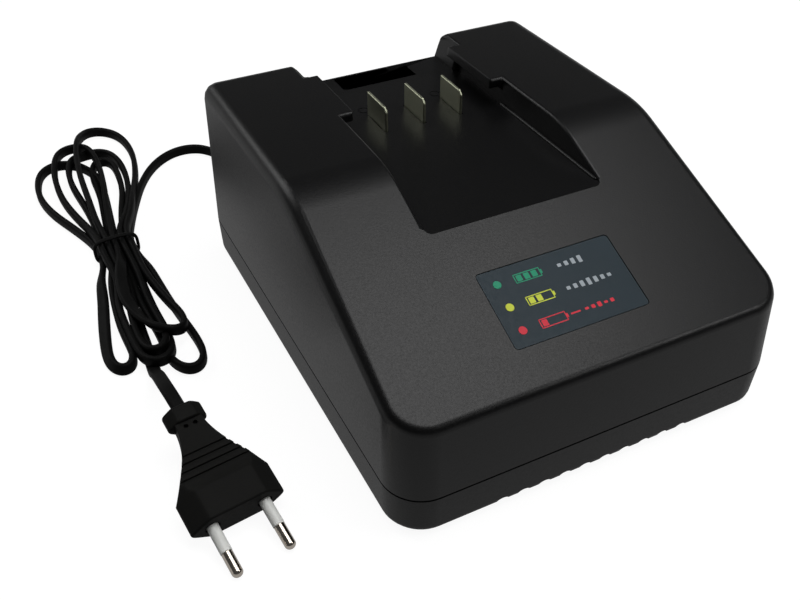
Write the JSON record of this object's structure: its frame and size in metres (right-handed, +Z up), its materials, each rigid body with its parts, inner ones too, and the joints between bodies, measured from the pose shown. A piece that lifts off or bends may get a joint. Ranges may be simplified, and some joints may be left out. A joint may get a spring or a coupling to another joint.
{
  "type": "power_tool_battery_charger",
  "caption": "Dock charger for slide-on power tool batteries: sloping front with an indicator label, open bay with rail lips and contact blades, flat mains cord in a tied hank with its plug",
  "frame": {"origin": "centre of the case's footprint on the table, cord left out", "axes": "+X to the charger's right, +Y to the rear wall with the cord outlet, +Z up"},
  "size_m": [0.2255, 0.315, 0.084],
  "materials": {
    "case_black": "fine textured black ABS",
    "base_black": "fine textured black ABS",
    "cord_black": "smooth black PVC",
    "plug_black": "satin black PVC",
    "rubber_black": "soft black rubber",
    "label_film": "dark slate film, satin",
    "contact_nickel": "nickel plated, satin",
    "pin_nickel": "nickel plated, polished",
    "sleeve_white": "white nylon",
    "screw_steel": "zinc plated",
    "board_green": "glass epoxy with green resist",
    "inner_black": "moulded black plastic",
    "ferrite_grey": "ferrite",
    "tape_yellow": "polyester tape",
    "heatsink_alu": "plain",
    "capacitor_blue": "shrink sleeve",
    "capacitor_yellow": "box capacitor",
    "disc_blue": "epoxy dip",
    "choke_copper": "enamelled copper",
    "fuse_glass": "clear",
    "wire_brown": "PVC",
    "wire_red": "PVC",
    "ribbon_grey": "PVC",
    "lens_green": "diffused lens",
    "lens_yellow": "diffused lens",
    "lens_red": "diffused lens"
  },
  "bodies": {
    "root": {"top_case": "case_black", "bottom_case": "base_black", "case_screws": "screw_steel", "rubber_feet": "rubber_black", "indicator_label": "label_film", "led_green": "lens_green", "led_yellow": "lens_yellow", "led_red": "lens_red", "led_board": "board_green", "led_board_screws": "screw_steel", "contact_carrier": "inner_black", "carrier_screws": "screw_steel", "blade_negative": "contact_nickel", "blade_signal": "contact_nickel", "blade_positive": "contact_nickel", "main_board": "board_green", "board_screws": "screw_steel", "fuse": "fuse_glass", "varistor": "disc_blue", "x_capacitor": "capacitor_yellow", "common_mode_choke": "choke_copper", "bridge_rectifier": "inner_black", "bulk_capacitor": "capacitor_blue", "transformer_core": "ferrite_grey", "transformer_bobbin": "inner_black", "transformer_winding": "tape_yellow", "switching_transistor": "inner_black", "primary_heatsink": "heatsink_alu", "output_diode": "inner_black", "secondary_heatsink": "heatsink_alu", "output_capacitors": "capacitor_blue", "optocoupler": "inner_black", "controller_chip": "inner_black", "y_capacitor": "disc_blue", "mains_leads": "wire_brown", "output_wires": "wire_red", "led_wires": "ribbon_grey", "strain_relief": "cord_black", "cord_lead": "cord_black", "cord_hank": "cord_black", "cord_tail": "cord_black", "cord_tie": "cord_black", "plug_body": "plug_black", "plug_pin_sleeves": "sleeve_white", "plug_pins": "pin_nickel"}
  },
  "joints": []
}
